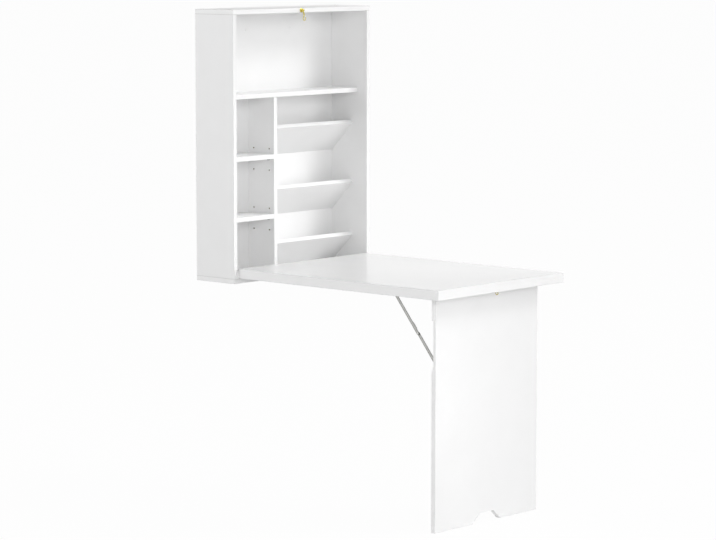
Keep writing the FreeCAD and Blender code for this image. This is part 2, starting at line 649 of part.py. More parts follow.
print("nodes", len(nodes))
print("floor z %.3f, desk pin %s, leg pin %s" % (floor_z, desk_pin, leg_pin))
print("stay angle %.4f, links %.3f and %.3f" % (stay_angle, link_upper, link_lower))
print("pivots", pivot_a, pivot_b, elbow)
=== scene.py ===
# %% [markdown]
# # A fold down wall desk, dressed for a product picture
# A shallow white cabinet hangs on a wall. Its front is a framed desktop that folds down and
# stands on a panel leg, which two steel stays lock open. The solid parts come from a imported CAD
# model, and this lesson gives them rounded arrises, edge bands, hardware and finishes.

# %% Load the frame
import json
import math

import bmesh
import bpy
from mathutils import Matrix, Vector

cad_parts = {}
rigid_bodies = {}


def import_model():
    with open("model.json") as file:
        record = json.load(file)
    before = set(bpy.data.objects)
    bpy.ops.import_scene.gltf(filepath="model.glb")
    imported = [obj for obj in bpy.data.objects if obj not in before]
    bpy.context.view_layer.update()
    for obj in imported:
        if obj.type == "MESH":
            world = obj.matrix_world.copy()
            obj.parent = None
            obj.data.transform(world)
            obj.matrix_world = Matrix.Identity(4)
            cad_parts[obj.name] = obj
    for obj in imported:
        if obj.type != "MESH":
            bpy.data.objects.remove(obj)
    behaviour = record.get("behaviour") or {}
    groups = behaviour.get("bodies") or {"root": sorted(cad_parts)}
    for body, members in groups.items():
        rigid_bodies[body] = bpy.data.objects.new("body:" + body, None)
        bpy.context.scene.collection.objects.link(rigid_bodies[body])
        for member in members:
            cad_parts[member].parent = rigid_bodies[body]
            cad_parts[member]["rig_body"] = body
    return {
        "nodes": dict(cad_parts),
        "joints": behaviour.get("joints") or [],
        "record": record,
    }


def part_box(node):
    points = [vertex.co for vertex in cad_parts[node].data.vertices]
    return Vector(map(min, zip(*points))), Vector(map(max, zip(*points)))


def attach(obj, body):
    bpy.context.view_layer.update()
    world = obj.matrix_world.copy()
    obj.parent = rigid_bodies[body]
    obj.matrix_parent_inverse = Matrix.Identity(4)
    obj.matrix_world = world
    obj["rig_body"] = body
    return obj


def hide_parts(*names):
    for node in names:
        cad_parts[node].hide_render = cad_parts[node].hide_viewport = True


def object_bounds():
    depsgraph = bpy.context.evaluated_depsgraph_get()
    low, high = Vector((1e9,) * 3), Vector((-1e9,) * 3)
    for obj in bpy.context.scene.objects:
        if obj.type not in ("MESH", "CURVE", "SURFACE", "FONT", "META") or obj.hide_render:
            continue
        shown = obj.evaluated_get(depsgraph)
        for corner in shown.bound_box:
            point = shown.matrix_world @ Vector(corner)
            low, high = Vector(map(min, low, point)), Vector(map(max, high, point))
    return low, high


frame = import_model()
cad_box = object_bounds()
nodes = frame["nodes"]
joints = {joint["name"]: joint for joint in frame["joints"]}
mm = 0.001

# %% [markdown]
# ## The camera
# The picture was taken from the left front, a little above the desktop, through a long lens.
# The place, turn and focal length were solved from the corners of the cabinet, desktop and leg,
# so they are written as real sizes. A long lens far away keeps the edges nearly parallel.

# %% Camera
IMAGE_WIDTH = 716
SENSOR_MM = 36.0
FOCAL_PX = 2862.5
CAMERA_PLACE = Vector((-6.6393, -6.3460, 0.3197))
CAMERA_TURN = math.radians(48.139)
CAMERA_PITCH = math.radians(6.814)
FAR_CLIP = 200.0

camera_data = bpy.data.cameras.new("product_camera")
camera_data.sensor_fit = "HORIZONTAL"
camera_data.sensor_width = SENSOR_MM
camera_data.lens = FOCAL_PX * SENSOR_MM / IMAGE_WIDTH
camera_data.clip_end = FAR_CLIP
camera = bpy.data.objects.new("product_camera", camera_data)
camera.location = CAMERA_PLACE
camera.rotation_euler = (math.radians(90) - CAMERA_PITCH, 0.0, -CAMERA_TURN)
bpy.context.scene.collection.objects.link(camera)
bpy.context.scene.camera = camera
print("camera lens", round(camera_data.lens, 1), "mm")

# %% [markdown]
# ## Helpers for finishes
# Colours are read from hex values as a screen shows them, so one function turns them to the
# linear values that shaders use. Another adds a node, sets it and links its inputs, which keeps
# each finish short enough to read.


# %% Colour and node helpers
def linear(hex_colour):
    """A screen colour such as F4F3F0 as linear red, green, blue and alpha."""
    channels = [int(hex_colour[i:i + 2], 16) / 255 for i in (0, 2, 4)]
    return [c / 12.92 if c <= 0.04045 else ((c + 0.055) / 1.055) ** 2.4 for c in channels] + [1.0]


def add(tree, kind, inputs=None, **settings):
    """Adds a node. An input is a value, or another node's output socket."""
    node = tree.nodes.new(kind)
    for name, value in settings.items():
        setattr(node, name, value)
    for key, value in (inputs or {}).items():
        socket = node.inputs[key]
        if isinstance(value, bpy.types.NodeSocket):
            tree.links.new(value, socket)
        else:
            socket.default_value = value
    return node


def new_finish(name):
    """An empty material with its principled shader and output."""
    material = bpy.data.materials.new(name)
    material.use_nodes = True
    tree = material.node_tree
    tree.nodes.clear()
    shader = add(tree, "ShaderNodeBsdfPrincipled")
    output = add(tree, "ShaderNodeOutputMaterial", {"Surface": shader.outputs["BSDF"]})
    return material, tree, shader, output


def per_metre(size_mm):
    """A texture scale that repeats about once in size_mm."""
    return 1000.0 / size_mm


print("a screen grey of EEEEEE is", round(linear("EEEEEE")[0], 3), "in linear light")

# %% [markdown]
# ## The stage and the light
# The object stands alone on white. The key lamp is high on the right, so the top board and the
# right side panel shade the back, and its lower left stays bright. A lamp in front and one on the
# left fill that, a fourth behind on the left lights the outer side alone, and one overhead the
# desktop. A small lamp with a grid fills the shelves, another lifts the left of the leg, and a
# faint white world does the rest. The floor looks nearly white, and still takes a faint shadow.

# %% Floor
FLOOR_HALF = 60.0
FLOOR_DROP = 0.5 * mm
FLOOR_WHITE_SHARE = 0.97
PAPER_ROUGHNESS = 0.9
PURE_WHITE = (1, 1, 1, 1)


def seen_plainly(tree):
    """One for a ray that shows the backdrop itself: from the camera, off gloss or through glass."""
    ray = add(tree, "ShaderNodeLightPath").outputs
    seen = ray["Is Camera Ray"]
    for kind in ("Is Glossy Ray", "Is Transmission Ray"):
        seen = add(tree, "ShaderNodeMath", {0: seen, 1: ray[kind]}, operation="MAXIMUM").outputs[0]
    return seen


floor_z = cad_box[0][2] - FLOOR_DROP
floor_corners = [(x * FLOOR_HALF, y * FLOOR_HALF, floor_z) for x, y in ((-1, -1), (1, -1), (1, 1), (-1, 1))]
floor_mesh = bpy.data.meshes.new("studio_floor")
floor_mesh.from_pydata(floor_corners, [], [(0, 1, 2, 3)])
floor = bpy.data.objects.new("studio_floor", floor_mesh)
bpy.context.scene.collection.objects.link(floor)

# Paper floor: matt, so it gives back an even light. The camera sees most of it as plain white.
paper, paper_tree, paper_shader, paper_out = new_finish("white_paper_floor")
paper_shader.inputs["Base Color"].default_value = linear("E0E0E0")
paper_shader.inputs["Roughness"].default_value = PAPER_ROUGHNESS
paper_glow = add(paper_tree, "ShaderNodeEmission", {"Color": PURE_WHITE, "Strength": 1.0})
share = add(paper_tree, "ShaderNodeMath", {0: seen_plainly(paper_tree), 1: FLOOR_WHITE_SHARE},
            operation="MULTIPLY")
paper_mix = add(paper_tree, "ShaderNodeMixShader", {0: share.outputs[0], 1: paper_shader.outputs[0],
                                                    2: paper_glow.outputs[0]})
paper_tree.links.new(paper_mix.outputs[0], paper_out.inputs["Surface"])
floor_mesh.materials.append(paper)
print("floor at", round(floor_z, 4), "m")

# %% World
HORIZON_FILL = 0.40
ZENITH_FILL = 0.30
FILL_LOW, FILL_HIGH = 0.05, 0.8
world = bpy.data.worlds.new("white_studio")
bpy.context.scene.world = world
world.use_nodes = True
world_tree = world.node_tree
world_tree.nodes.clear()
sky_way = add(world_tree, "ShaderNodeTexCoord").outputs["Generated"]
sky_parts = add(world_tree, "ShaderNodeSeparateXYZ", {0: sky_way})
sky_fill = add(world_tree, "ShaderNodeMapRange", {0: sky_parts.outputs["Z"], 1: FILL_LOW, 2: FILL_HIGH,
                                                  3: HORIZON_FILL, 4: ZENITH_FILL})
fill = add(world_tree, "ShaderNodeBackground", {"Color": PURE_WHITE, "Strength": sky_fill.outputs[0]})
white = add(world_tree, "ShaderNodeBackground", {"Color": PURE_WHITE, "Strength": 1.0})
world_mix = add(world_tree, "ShaderNodeMixShader", {0: seen_plainly(world_tree), 1: fill.outputs[0],
                                                    2: white.outputs[0]})
add(world_tree, "ShaderNodeOutputWorld", {"Surface": world_mix.outputs[0]})
print("world fill", HORIZON_FILL, "at the horizon and", ZENITH_FILL, "overhead")

# %% Lamps


def soft_lamp(name, place, aim, size, watts, spread=180):
    """A round softbox that looks at a point. A grid on its front narrows the spread, in degrees."""
    data = bpy.data.lights.new(name, "AREA")
    data.shape = "DISK"
    data.size = size
    data.energy = watts
    data.spread = math.radians(spread)
    lamp = bpy.data.objects.new(name, data)
    lamp.location = place
    lamp.rotation_euler = (Vector(aim) - Vector(place)).to_track_quat("-Z", "Y").to_euler()
    bpy.context.scene.collection.objects.link(lamp)
    return lamp


LAMP_AIM = (0.0, -0.4, -0.5)
STUDIO_LAMP = 3.5
GRID_SPREAD = 75
studio_lamps = (("key_softbox", (5.0, -5.5, 5.0), 295.0), ("front_softbox", (4.4, -7.8, 2.0), 85.0),
                ("fill_softbox", (-5.0, -7.5, 1.5), 186.0), ("side_softbox", (-6.0, 3.5, 1.0), 144.0),
                ("top_softbox", (0.0, -2.0, 7.0), 86.0))
lamps = [soft_lamp(name, place, LAMP_AIM, STUDIO_LAMP, watts) for name, place, watts in studio_lamps]
lamps.append(soft_lamp("leg_softbox", (-0.30, -1.4, -1.0), (-0.28, -0.9, -1.1), 0.3, 0.40))
lamps.append(soft_lamp("shelf_softbox", (0.45, -0.95, -0.50), (-0.05, -0.1, -0.56), 0.5, 0.34, GRID_SPREAD))
bpy.context.scene.view_settings.view_transform = "Standard"
print("lamps:", ", ".join(lamp.name for lamp in lamps))

# %% [markdown]
# ## Finishes
# The boards are chipboard faced with white melamine paper, pressed against a finely grained
# plate. The eye sees a plain white with a soft sheen, faint cloudiness and a very fine grain. The
# cut edges are covered with a smooth white plastic band, a touch brighter and glossier. A picture
# of a board could be wrapped round each piece, but its seams and repeats would show, so noise on
# the piece's own coordinates draws the clouds and the grain.

# %% Board and plastic finishes
CLOUD_MM = 90
BOARD_GLOSS = (-0.05, 0.07)
BOARD_BUMP = 0.5
PLASTIC_IOR = 1.5
PLAIN_MIRROR = 0.5


def dress(tree, shader, colours, tone, marks, roughness, gloss_spread, bump_strength, depth_mm):
    """Links a shader: its colour follows one noise, its gloss and bump follow another."""
    colour = add(tree, "ShaderNodeMix", {0: tone, 6: linear(colours[0]), 7: linear(colours[1])},
                 data_type="RGBA")
    gloss = add(tree, "ShaderNodeMapRange", {0: marks, 3: roughness + gloss_spread[0],
                                             4: roughness + gloss_spread[1]})
    bump = add(tree, "ShaderNodeBump", {"Strength": bump_strength, "Distance": depth_mm * mm,
                                        "Height": marks})
    for output, socket in ((colour.outputs[2], "Base Color"), (gloss.outputs[0], "Roughness"),
                           (bump.outputs[0], "Normal")):
        tree.links.new(output, shader.inputs[socket])


def clouded_finish(name, colours, roughness, grain_mm, depth_mm, cloud_mm=CLOUD_MM, mirror=PLAIN_MIRROR):
    """A surface with a faint cloudy tone, and a fine grain in its gloss and bump."""
    material, tree, shader, _ = new_finish(name)
    place = add(tree, "ShaderNodeTexCoord").outputs["Object"]
    cloud = add(tree, "ShaderNodeTexNoise", {"Vector": place, "Scale": per_metre(cloud_mm), "Detail": 3.0})
    grain = add(tree, "ShaderNodeTexNoise", {"Vector": place, "Scale": per_metre(grain_mm), "Detail": 2.0})
    dress(tree, shader, colours, cloud.outputs["Fac"], grain.outputs["Fac"], roughness, BOARD_GLOSS,
          BOARD_BUMP, depth_mm)
    shader.inputs["IOR"].default_value = PLASTIC_IOR
    shader.inputs["Specular IOR Level"].default_value = mirror
    return material


# Melamine paper pressed on a grained plate: an even white with a soft sheen that breaks up close to.
# Its real grain is near a tenth of a millimetre, and is drawn coarser so that it shows.
board_white = clouded_finish("white_melamine_board", ("EEEEEE", "F2F2F2"), 0.42, 1.2, 0.05)
# The desktop's own paper is pressed on a smoother plate, as on a worktop, so it mirrors the cabinet
# faintly, and the white room beside it.
desk_white = clouded_finish("smooth_melamine_desktop", ("EEEEEE", "F2F2F2"), 0.20, 1.2, 0.03)
# The top board is the matt grade: its coarse pearl stops it from mirroring the room at a low angle.
top_white = clouded_finish("matt_melamine_top", ("EEEEEE", "F2F2F2"), 0.60, 1.2, 0.05, mirror=0.1)
# Glued plastic band: smoother than the face, so it takes a clearer sheen along the edge.
band_white = clouded_finish("white_edge_band", ("EFEFEF", "F3F3F3"), 0.34, 3.0, 0.02)
# The band's arris: duller, and a little greyer as painted shade, which draws a fine dark line round each
# board and in its joints.
arris_painted_shade = clouded_finish("edge_band_arris_painted_shade", ("DADADA", "E4E4E4"), 0.5, 3.0, 0.03)
# Lacquered hardboard: rolled on thin, so the pressed fibres leave a soft unevenness.
back_white = clouded_finish("white_lacquered_hardboard", ("F0F0F0", "F4F4F4"), 0.5, 2.0, 0.06)
# Moulded plastic caps: an even white with the fine spark finish of the mould.
plastic_white = clouded_finish("moulded_white_plastic", ("EDEDED", "F1F1F1"), 0.38, 1.6, 0.03)
# Raw chipboard, where a drill went through the face: pressed brown chips a few millimetres long, painted
# darker than raw chipboard as painted shade in the holes.
chipboard_with_painted_shade = clouded_finish("drill_hole_chipboard_painted_shade", ("6E6456", "9C907C"), 0.8, 1.0, 0.3, cloud_mm=2.5)
clouded = (board_white, desk_white, top_white, band_white, arris_painted_shade, back_white, plastic_white,
           chipboard_with_painted_shade)
print("board and plastic finishes:", ", ".join(finish.name for finish in clouded))

# %% [markdown]
# The stays, hinges and screws are pressed from mild steel and zinc plated, which leaves a pale
# grey with fine rolling marks. The latch is polished brass, warm and smooth, with faint smears,
# and the hidden dowels are raw beech. All of them carry marks that run one way, so one function
# draws a noise that is stretched along that way. On the stays it has to lean with the strips.

# %% Metals and dowel wood
METAL_GLOSS = (-0.08, 0.1)
METAL_BUMP = 0.4
stay_pivots = [joints["left_" + link + "_link_turn"]["pos_m"] for link in ("lower", "upper")]
stay_lean = math.atan2(stay_pivots[1][2] - stay_pivots[0][2], stay_pivots[1][1] - stay_pivots[0][1])


def streaked_finish(name, colours, roughness, streak_mm, stretch, depth_mm, metallic, lean=0.0):
    """A surface with streaks along one way, in its colour, gloss and bump."""
    material, tree, shader, _ = new_finish(name)
    place = add(tree, "ShaderNodeTexCoord").outputs["Object"]
    along = add(tree, "ShaderNodeMapping", {"Vector": place, "Rotation": (lean, 0.0, 0.0),
                                            "Scale": stretch}, vector_type="TEXTURE")
    streaks = add(tree, "ShaderNodeTexNoise", {"Vector": along.outputs[0], "Scale": per_metre(streak_mm),
                                               "Detail": 2.0}).outputs["Fac"]
    dress(tree, shader, colours, streaks, streaks, roughness, METAL_GLOSS, METAL_BUMP, depth_mm)
    shader.inputs["Metallic"].default_value = metallic
    return material


ALONG_X = (6.0, 1.0, 1.0)
ALONG_STAY = (1.0, 8.0, 1.0)
ALONG_Z = (1.0, 1.0, 3.0)
# Zinc plated sheet: a pale satin grey, with rolling marks along the hinge. The real marks are a few
# hundredths of a millimetre wide, and are drawn coarser so that they show.
zinc = streaked_finish("zinc_plated_steel", ("9A9A97", "BDBDBA"), 0.40, 1.5, ALONG_X, 0.01, 1.0)
# The same on the stays' strips, where the marks follow the strip, but painted darker than the hinge zinc as
# painted shade.
stay_zinc_shaded = streaked_finish("zinc_plated_stay_painted_shade", ("82827F", "A3A3A0"), 0.40, 1.5, ALONG_STAY, 0.01, 1.0,
                             stay_lean)
# The floor of a rolled channel: a little glossier than the strip round it, and painted brighter as a
# painted highlight.
channel_zinc_painted_highlight = streaked_finish("channel_floor_zinc_painted_highlight", ("989896", "B6B6B4"), 0.30, 1.5, ALONG_STAY, 0.01, 1.0,
                              stay_lean)
# Polished brass: a lemon gold with sharp highlights, drawn along the wire.
brass = streaked_finish("polished_brass", ("A89A3C", "D9CC74"), 0.20, 3.0, ALONG_Z, 0.01, 1.0)
# Raw beech: pinkish brown fibres along the dowel, with no gloss.
beech = streaked_finish("raw_beech_dowel", ("B98F62", "D8B48A"), 0.70, 0.6, ALONG_X, 0.05, 0.0)
streaked = (zinc, stay_zinc_shaded, channel_zinc_painted_highlight, brass, beech)
print("metals and dowel wood:", ", ".join(finish.name for finish in streaked))

# %% [markdown]
# ## Boards
# A board from the CAD model has knife sharp arrises. A real one has its edge band trimmed to a
# small radius, and two such boards meet in a fine dark line. A board could be drawn afresh as a
# rounded box, but a merged copy of its solid keeps the pin holes, grooves and pockets. Only the
# arrises of its outer box are rounded, by bevel weights, and its narrow sides get the edge band.

# %% Cutting and baking meshes


def new_piece(name, mesh):
    piece = bpy.data.objects.new(name, mesh)
    bpy.context.scene.collection.objects.link(piece)
    return piece


def baked(piece):
    """A plain mesh of a piece as its modifiers leave it."""
    return bpy.data.meshes.new_from_object(piece.evaluated_get(bpy.context.evaluated_depsgraph_get()))


def carved(mesh, boxes):
    """A copy of a closed mesh with boxes cut out of it. A box is its matrix from a unit cube."""
    piece = new_piece("carving", mesh)
    cutters = []
    for place in boxes:
        work = bmesh.new()
        bmesh.ops.create_cube(work, size=1.0, matrix=place)
        cutter_mesh = bpy.data.meshes.new("cutter")
        work.to_mesh(cutter_mesh)
        work.free()
        cutters.append(new_piece("cutter", cutter_mesh))
        cut = piece.modifiers.new("cut", "BOOLEAN")
        cut.operation = "DIFFERENCE"
        cut.solver = "EXACT"
        cut.object = cutters[-1]
    result = baked(piece)
    for done in [piece] + cutters:
        bpy.data.objects.remove(done)
    return result


triangles = sum(len(solid.data.polygons) for solid in nodes.values())
print("the solids have", triangles, "triangles to start from")

# %% Clean copies of solids
SAME = 0.02 * mm
FLAT = math.radians(1.0)


def merged_copy(node, cuts=()):
    """The node's triangles as one clean mesh: stored normals dropped, points merged, flat faces joined."""
    mesh = nodes[node].data.copy()
    if "custom_normal" in mesh.attributes:
        mesh.attributes.remove(mesh.attributes["custom_normal"])
    work = bmesh.new()
    work.from_mesh(mesh)
    bmesh.ops.remove_doubles(work, verts=work.verts, dist=SAME / 2)
    if cuts:
        work.to_mesh(mesh)
        mesh = carved(mesh, cuts)
        work.clear()
        work.from_mesh(mesh)
    for face in work.faces:
        face.smooth = False
    bmesh.ops.dissolve_limit(work, angle_limit=FLAT, verts=work.verts, edges=work.edges)
    return mesh, work


def outer_box(group):
    """The lowest and highest corners of several nodes together."""
    boxes = [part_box(node) for node in group]
    low = Vector([min(box[0][i] for box in boxes) for i in range(3)])
    high = Vector([max(box[1][i] for box in boxes) for i in range(3)])
    return low, high


print("points closer than", round(SAME / 2 / mm, 3), "mm are merged")

# %% Board maker
ARRIS = 0.9 * mm
ARRIS_STEPS = 3
FACE, BAND, ROUNDED, DRILLED = range(4)
DRILLED_FACET = 30 * mm * mm
own_faces = {"top_board": top_white, "desk_top_board": desk_white}


def board_piece(node, mesh):
    """The finished board: marked arrises rounded, its finishes, and no point outside its solid's box."""
    chosen = [face.material_index for face in mesh.polygons]
    mesh.materials.clear()
    for finish in (own_faces.get(node, board_white), band_white, arris_painted_shade, chipboard_with_painted_shade):
        mesh.materials.append(finish)
    mesh.polygons.foreach_set("material_index", chosen)
    piece = new_piece(node + "_finished", mesh)
    bevel = piece.modifiers.new("arris", "BEVEL")
    bevel.limit_method = "WEIGHT"
    bevel.width = ARRIS
    bevel.segments = ARRIS_STEPS
    bevel.use_clamp_overlap = False
    # The rounded faces take the arris finish, whose greyer colour is painted shade.
    bevel.material = ROUNDED
    rounded = baked(piece)
    piece.modifiers.remove(bevel)
    low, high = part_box(node)
    for vertex in rounded.vertices:
        vertex.co = [min(max(c, a), b) for c, a, b in zip(vertex.co, low, high)]
    rounded.name = piece.name
    piece.data = rounded
    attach(piece, nodes[node]["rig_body"])
    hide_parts(node)
    return piece


def finish_board(node, group, cuts=()):
    """A piece that stands for a board. Only arrises on the outer box of its group are rounded."""
    low, high = outer_box(group)
    own_low, own_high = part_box(node)
    thin = min(range(3), key=lambda i: own_high[i] - own_low[i])
    mesh, work = merged_copy(node, cuts)
    weights = work.edges.layers.float.new("bevel_weight_edge")

    def walls(point):
        return {(i, s) for i in range(3) for s, edge in ((0, low[i]), (1, high[i]))
                if abs(point[i] - edge) < SAME}

    rounded = 0
    for edge in work.edges:
        shared = walls(edge.verts[0].co) & walls(edge.verts[1].co)
        if len(shared) == 2:
            edge[weights] = 1.0
            rounded += 1
    for face in work.faces:
        axis = max(range(3), key=lambda i: abs(face.normal[i]))
        face.material_index = FACE if axis == thin else BAND
        middle = face.calc_center_median()
        inside = all(own_low[i] + SAME < middle[i] < own_high[i] - SAME for i in range(3))
        # Small faces inside the board are hole walls, and take the chipboard, whose dark colour is partly
        # painted shade.
        if inside and face.calc_area() < DRILLED_FACET:
            face.material_index = DRILLED
    work.to_mesh(mesh)
    work.free()
    board_piece(node, mesh)
    return rounded


print("arrises get a radius of", round(ARRIS / mm, 1), "mm")

# %% Cabinet boards
single_boards = ["top_board", "bottom_board", "left_side_panel", "right_side_panel", "full_shelf",
                 "column_divider", "upper_cubby_shelf", "lower_cubby_shelf", "hanging_rail"]
for board in single_boards:
    print(board, "has", finish_board(board, [board]), "rounded arrises")

# %% [markdown]
# The desktop is a board with a frame of strips glued under it, banded after gluing, so its edge is
# one plain face twice as thick. Its five pieces are rounded only where their common box has an
# arris, which leaves no line along the glue joint.

# %% Desktop boards
desk_boards = ["desk_top_board", "desk_left_stile", "desk_right_stile", "desk_end_rail", "desk_hinge_rail"]
for board in desk_boards:
    print(board, "has", finish_board(board, desk_boards), "rounded arrises")

# %% [markdown]
# When the leg folds, the stays fold into its two pockets. A stop lug on each upper strip needs a
# little more depth there, so the leg gets a shallow relief at the lug's folded place. That place is
# measured along the leg from its hinge: out to the pivot on the desktop, on to the elbow, and back.

# %% Stay pivots and the leg panel
LUG_BACK = 26 * mm
LUG_LENGTH = 30 * mm
LUG_HEIGHT = 2.2 * mm
RELIEF_SIZE = (5 * mm, 6 * mm, LUG_LENGTH + 6 * mm)


def pivot(joint):
    """A joint's place as Y and Z."""
    place = joints[joint]["pos_m"]
    return Vector((place[1], place[2]))


elbow_low, elbow_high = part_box("left_elbow_rivet_upper")
elbow = Vector(((elbow_low.y + elbow_high.y) / 2, (elbow_low.z + elbow_high.z) / 2))
stay_top = pivot("left_upper_link_turn")
stay_foot = pivot("left_lower_link_turn")
leg_hinge = pivot("leg_fold")
upper_long = (elbow - stay_top).length
lug_z = leg_hinge.y - (stay_top.x - leg_hinge.x + upper_long - LUG_BACK)
pocket_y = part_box("stay_leg_brackets")[0].y
reliefs = []
for side in ("left", "right"):
    strip_low, strip_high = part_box(side + "_stay_upper_link")
    middle = Vector(((strip_low.x + strip_high.x) / 2, pocket_y, lug_z))
    reliefs.append(Matrix.Translation(middle) @ Matrix.Diagonal((*RELIEF_SIZE, 1)))
print("leg has", finish_board("leg_panel", ["leg_panel"], reliefs), "rounded arrises")
print("lug relief", round((leg_hinge.y - lug_z) / mm), "mm from the leg's hinge")

# %% [markdown]
# The three paper racks lean at 45 degrees, so the test against an outer box can't find their
# arrises. Their long straight edges are found by length instead.

# %% Rack panels
LONG_SHARE = 0.9
LEANING = 0.5
for rack in ("upper_rack_panel", "middle_rack_panel", "lower_rack_panel"):
    low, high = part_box(rack)
    rack_mesh, rack_work = merged_copy(rack)
    rack_weights = rack_work.edges.layers.float.new("bevel_weight_edge")
    for edge in rack_work.edges:
        if edge.calc_length() > LONG_SHARE * (high.x - low.x):
            edge[rack_weights] = 1.0
    for face in rack_work.faces:
        forward = face.normal.y < -LEANING and face.normal.z > LEANING
        face.material_index = FACE if abs(face.normal.x) < LEANING and not forward else BAND
    rack_work.to_mesh(rack_mesh)
    rack_work.free()
    made = board_piece(rack, rack_mesh)
    print(made.name, "has", len(made.data.polygons), "faces")

# %% [markdown]
# ## Finding the fasteners
# Screws, rivets, caps and shelf pins repeat, so their shapes come from Geometry Nodes. Their
# places come from the CAD solids: each loose island of a node is one fastener, its longest side is
# its axis, and its wider end is its head. That way nothing is placed twice by hand.

# %% Islands of a node


def islands(node):
    """The points of each separate solid in a node."""
    mesh, work = merged_copy(node)
    left = set(work.verts)
    groups = []
    for start in work.verts:
        if start not in left:
            continue
        left.remove(start)
        stack = [start]
        group = []
        while stack:
            point = stack.pop()
            group.append(point.co.copy())
            for edge in point.link_edges:
                other = edge.other_vert(point)
                if other in left:
                    left.remove(other)
                    stack.append(other)
        groups.append(group)
    work.free()
    bpy.data.meshes.remove(mesh)
    return groups


print("shelf pins come in", len(islands("shelf_pins")), "islands")

# %% Ends of a fastener
RIM = 0.05 * mm


def fastener(points, axis=None):
    """Both ends of one fastener: place, outward direction and radius, the wider end first."""
    low = Vector([min(p[i] for p in points) for i in range(3)])
    high = Vector([max(p[i] for p in points) for i in range(3)])
    size = high - low
    if axis is None:
        axis = max(range(3), key=lambda i: size[i])
    middle = (low + high) / 2
    ends = []
    for sign, level in ((-1, low[axis]), (1, high[axis])):
        place = middle.copy()
        place[axis] = level
        way = Vector((0, 0, 0))
        way[axis] = sign
        rim = [p - place for p in points if abs(p[axis] - level) < RIM]
        radius = max((r - way * r.dot(way)).length for r in rim)
        ends.append((place, way, radius))
    ends.sort(key=lambda end: -end[2])
    return ends, size[axis]


hinge_screws = [fastener(p) for p in islands("desk_hinge_cabinet_screws")]
print(len(hinge_screws), "cabinet hinge screws, head radius", round(hinge_screws[0][0][0][2] / mm, 2), "mm")

# %% [markdown]
# ## Cross head screws
# A countersunk screw is a cone with a cross pressed into it, on a plain shank. The tree cuts the
# cross with a boolean, sets one screw on each point, turns it to the stored direction, and gives
# each a fixed random twist, because nobody stops every screw at the same angle.

# %% Tree helpers
FULL_TURN = 6.28
TWIST_SEED = 7


def new_tree(name, sizes):
    """A node tree with a geometry in and out, named sizes and a finish."""
    tree = bpy.data.node_groups.new(name, "GeometryNodeTree")
    tree.interface.new_socket("Geometry", in_out="INPUT", socket_type="NodeSocketGeometry")
    for size in sizes:
        tree.interface.new_socket(size, in_out="INPUT", socket_type="NodeSocketFloat")
    tree.interface.new_socket("Finish", in_out="INPUT", socket_type="NodeSocketMaterial")
    tree.interface.new_socket("Geometry", in_out="OUTPUT", socket_type="NodeSocketGeometry")
    given = tree.nodes.new("NodeGroupInput").outputs
    return tree, given


def lowered(tree, shape, depth):
    """A shape moved down its own axis."""
    fall = add(tree, "ShaderNodeMath", {0: depth, 1: -1.0}, operation="MULTIPLY")
    drop = add(tree, "ShaderNodeCombineXYZ", {"Z": fall.outputs[0]})
    moved = add(tree, "GeometryNodeTransform", {"Geometry": shape, "Translation": drop.outputs[0]})
    return moved.outputs[0]


def shaft_below(tree, sides, radius, length, depth):
    """A round shaft whose upper end lies at a depth."""
    shaft = add(tree, "GeometryNodeMeshCylinder", {"Vertices": sides, "Radius": radius, "Depth": length})
    half = add(tree, "ShaderNodeMath", {0: length, 1: 0.5}, operation="MULTIPLY")
    middle = add(tree, "ShaderNodeMath", {0: half.outputs[0], 1: depth}, operation="ADD")
    return lowered(tree, shaft.outputs[0], middle.outputs[0])


def place_on_points(tree, given, shapes):
    """Joins shapes, puts them on every point, turned to the point's facing, and ends the tree."""
    whole = add(tree, "GeometryNodeJoinGeometry")
    for shape in shapes:
        tree.links.new(shape, whole.inputs["Geometry"])
    facing = add(tree, "GeometryNodeInputNamedAttribute", {"Name": "facing"}, data_type="FLOAT_VECTOR")
    aimed = add(tree, "FunctionNodeAlignRotationToVector", {"Vector": facing.outputs[0]}, axis="Z")
    twist = add(tree, "FunctionNodeRandomValue", {2: 0.0, 3: FULL_TURN, "Seed": TWIST_SEED},
                data_type="FLOAT")
    spun = add(tree, "FunctionNodeAxisAngleToRotation", {"Axis": (0, 0, 1), "Angle": twist.outputs[1]})
    both = add(tree, "FunctionNodeRotateRotation", {0: aimed.outputs[0], 1: spun.outputs[0]},
               rotation_space="LOCAL")
    set_out = add(tree, "GeometryNodeInstanceOnPoints", {"Points": given["Geometry"],
                                                         "Instance": whole.outputs[0],
                                                         "Rotation": both.outputs[0]})
    real = add(tree, "GeometryNodeRealizeInstances", {"Geometry": set_out.outputs[0]})
    painted = add(tree, "GeometryNodeSetMaterial", {"Geometry": real.outputs[0],
                                                    "Material": given["Finish"]})
    add(tree, "NodeGroupOutput", {0: painted.outputs[0]})
    print(tree.name, "tree has", len(tree.nodes), "nodes")


print("twists are drawn from seed", TWIST_SEED)

